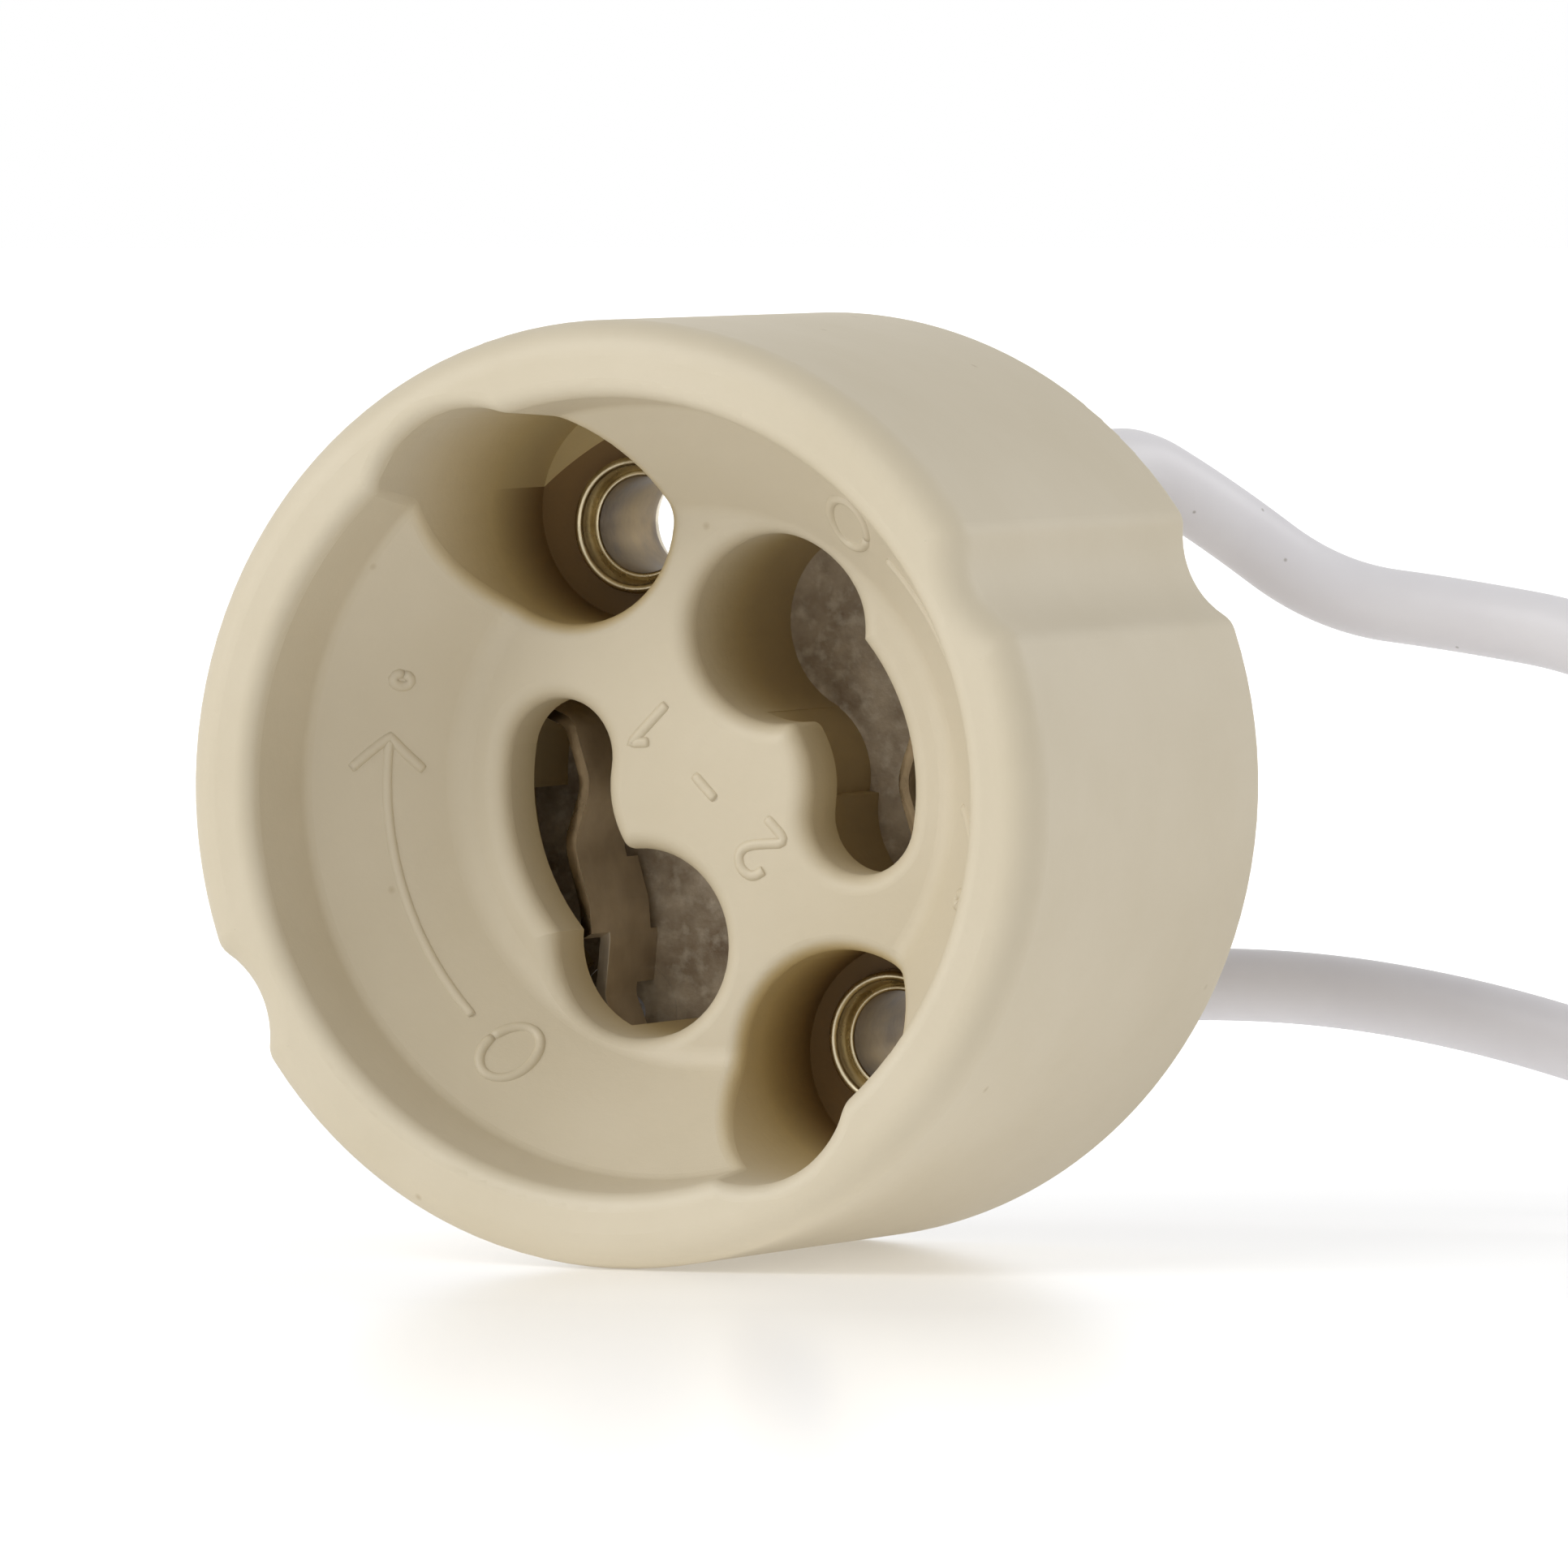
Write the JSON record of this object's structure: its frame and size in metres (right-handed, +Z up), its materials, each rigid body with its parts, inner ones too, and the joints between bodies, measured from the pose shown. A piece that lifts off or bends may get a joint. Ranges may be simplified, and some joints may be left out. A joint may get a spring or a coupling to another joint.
{
  "type": "lamp holder",
  "caption": "Round ceramic holder for a twist-lock two-pin reflector lamp, with keyhole slots, hollow rivets for the fixing screws and silicone leads.",
  "frame": {"origin": "centre of the rear rim's plane, midway between the two fixing screws", "axes": "+Y along the holder's axis, away from the lamp; +Z up as the holder lies on its curved side, with its keyhole axis 27.5 degrees above +X"},
  "size_m": [0.0718, 0.0321, 0.0288],
  "materials": {
    "ceramic": "unglazed, satin",
    "mica": "mottled, satin",
    "contact_metal": "nickel plated, dull",
    "rivet_metal": "nickel plated, bright",
    "silicone": "satin",
    "tinned_copper": "tinned strands"
  },
  "bodies": {
    "root": {"ceramic_body": "ceramic", "mica_back_plate": "mica", "contact_left": "contact_metal", "contact_right": "contact_metal", "rivet_upper": "rivet_metal", "rivet_lower": "rivet_metal", "lead_upper": "silicone", "lead_lower": "silicone", "core_crimped_upper": "tinned_copper", "core_crimped_lower": "tinned_copper", "core_bare_end_upper": "tinned_copper", "core_bare_end_lower": "tinned_copper"}
  },
  "joints": []
}
